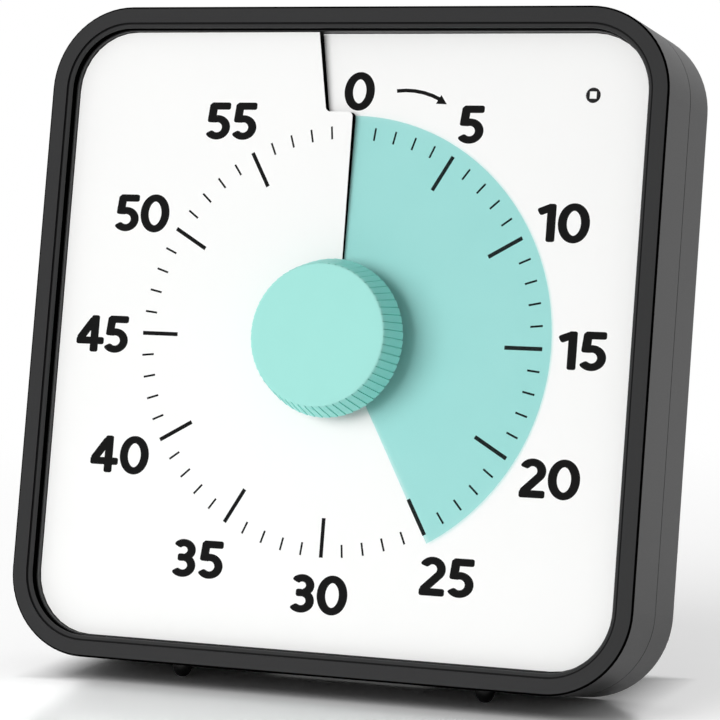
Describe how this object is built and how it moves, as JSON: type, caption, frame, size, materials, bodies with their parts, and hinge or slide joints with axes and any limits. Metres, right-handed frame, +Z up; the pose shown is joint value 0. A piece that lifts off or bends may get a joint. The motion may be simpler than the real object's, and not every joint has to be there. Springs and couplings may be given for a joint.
{
  "type": "visual countdown timer",
  "caption": "Square desk countdown timer with a fluted centre knob, a colour disc that shows the time left through a slit dial, and a fold-out stand",
  "frame": {"origin": "middle of the whole timer's box on the surface it stands on", "axes": "+Z up, -Y towards the reader (the dial leans back 11.2 degrees), +X to the reader's right"},
  "size_m": [0.18, 0.0692, 0.1835],
  "materials": {
    "charcoal_abs": "moulded ABS with a fine spark-eroded grain",
    "white_dial": "printed white polystyrene sheet, satin",
    "teal_film": "tinted PET film, satin",
    "teal_abs": "moulded ABS, satin",
    "natural_acetal": "moulded acetal",
    "black_nylon": "moulded nylon",
    "steel": "bright zinc plated",
    "nickel_strip": "nickel plated spring strip",
    "soft_iron": "stamped, oiled",
    "ferrite": "pressed and ground ferrite",
    "copper_winding": "enamelled copper wire",
    "battery_jacket": "plain printed sleeve",
    "board_laminate": "solder mask",
    "resin": "epoxy",
    "clear_resin": "cast LED resin",
    "soft_rubber": "moulded rubber"
  },
  "bodies": {
    "case": {"front_frame": "charcoal_abs", "back_cover": "charcoal_abs", "dial_plate": "white_dial", "movement_tray": "natural_acetal", "movement_lid": "natural_acetal", "stator": "soft_iron", "motor_coil": "copper_winding", "battery": "battery_jacket", "positive_contact": "nickel_strip", "negative_contact": "nickel_strip", "circuit_board": "board_laminate", "control_chip": "resin", "capacitor": "resin", "switch_body": "black_nylon", "sounder": "black_nylon", "led_holder": "black_nylon", "indicator_led": "clear_resin", "led_board": "board_laminate", "stand_pin": "steel", "left_foot": "soft_rubber", "right_foot": "soft_rubber", "case_screws": "steel", "movement_screws": "steel", "board_screws": "steel"},
    "dial_drive": {"knob": "teal_abs", "disc_hub": "natural_acetal", "colour_disc": "teal_film", "drive_shaft": "steel", "output_wheel": "natural_acetal", "clutch_spring": "steel"},
    "reduction_gear": {"reduction_wheel": "natural_acetal"},
    "rotor": {"rotor_pinion": "natural_acetal", "rotor_magnet": "ferrite"},
    "battery_door": {"battery_cover": "charcoal_abs"},
    "volume_switch": {"volume_slider": "black_nylon"},
    "stand": {"stand_leg": "charcoal_abs", "stand_pad": "soft_rubber"}
  },
  "joints": [
    {"name": "knob_turn", "type": "hinge", "parent": "case", "child": "dial_drive", "pos_m": [0, -0.01208, 0.09426], "axis": [0, 0.981, -0.1942], "range_deg": [-150, 204], "deforming": ["colour_disc"]},
    {"name": "reduction_turn", "type": "hinge", "parent": "case", "child": "reduction_gear", "pos_m": [0.0216, 0.00264, 0.09135], "axis": [0, 0.981, -0.1942], "range_deg": [-1025, 755]},
    {"name": "rotor_turn", "type": "hinge", "parent": "case", "child": "rotor", "pos_m": [0.0216, 0.00111, 0.0733], "axis": [0, 0.981, -0.1942], "range_deg": [-3010, 4090]},
    {"name": "battery_cover_slide", "type": "slide", "parent": "case", "child": "battery_door", "axis": [0, -0.1942, -0.981], "range_m": [0, 0.006]},
    {"name": "volume_slide", "type": "slide", "parent": "case", "child": "volume_switch", "axis": [1, 0, 0], "range_m": [0, 0.006]},
    {"name": "stand_fold", "type": "hinge", "parent": "case", "child": "stand", "pos_m": [0, 0.01228, 0.07517], "axis": [-1, 0, 0], "range_deg": [0, 23.6]}
  ],
  "couplings": [
    {"joint": "reduction_turn", "follows": "knob_turn", "ratio": -5},
    {"joint": "rotor_turn", "follows": "knob_turn", "ratio": 20}
  ]
}
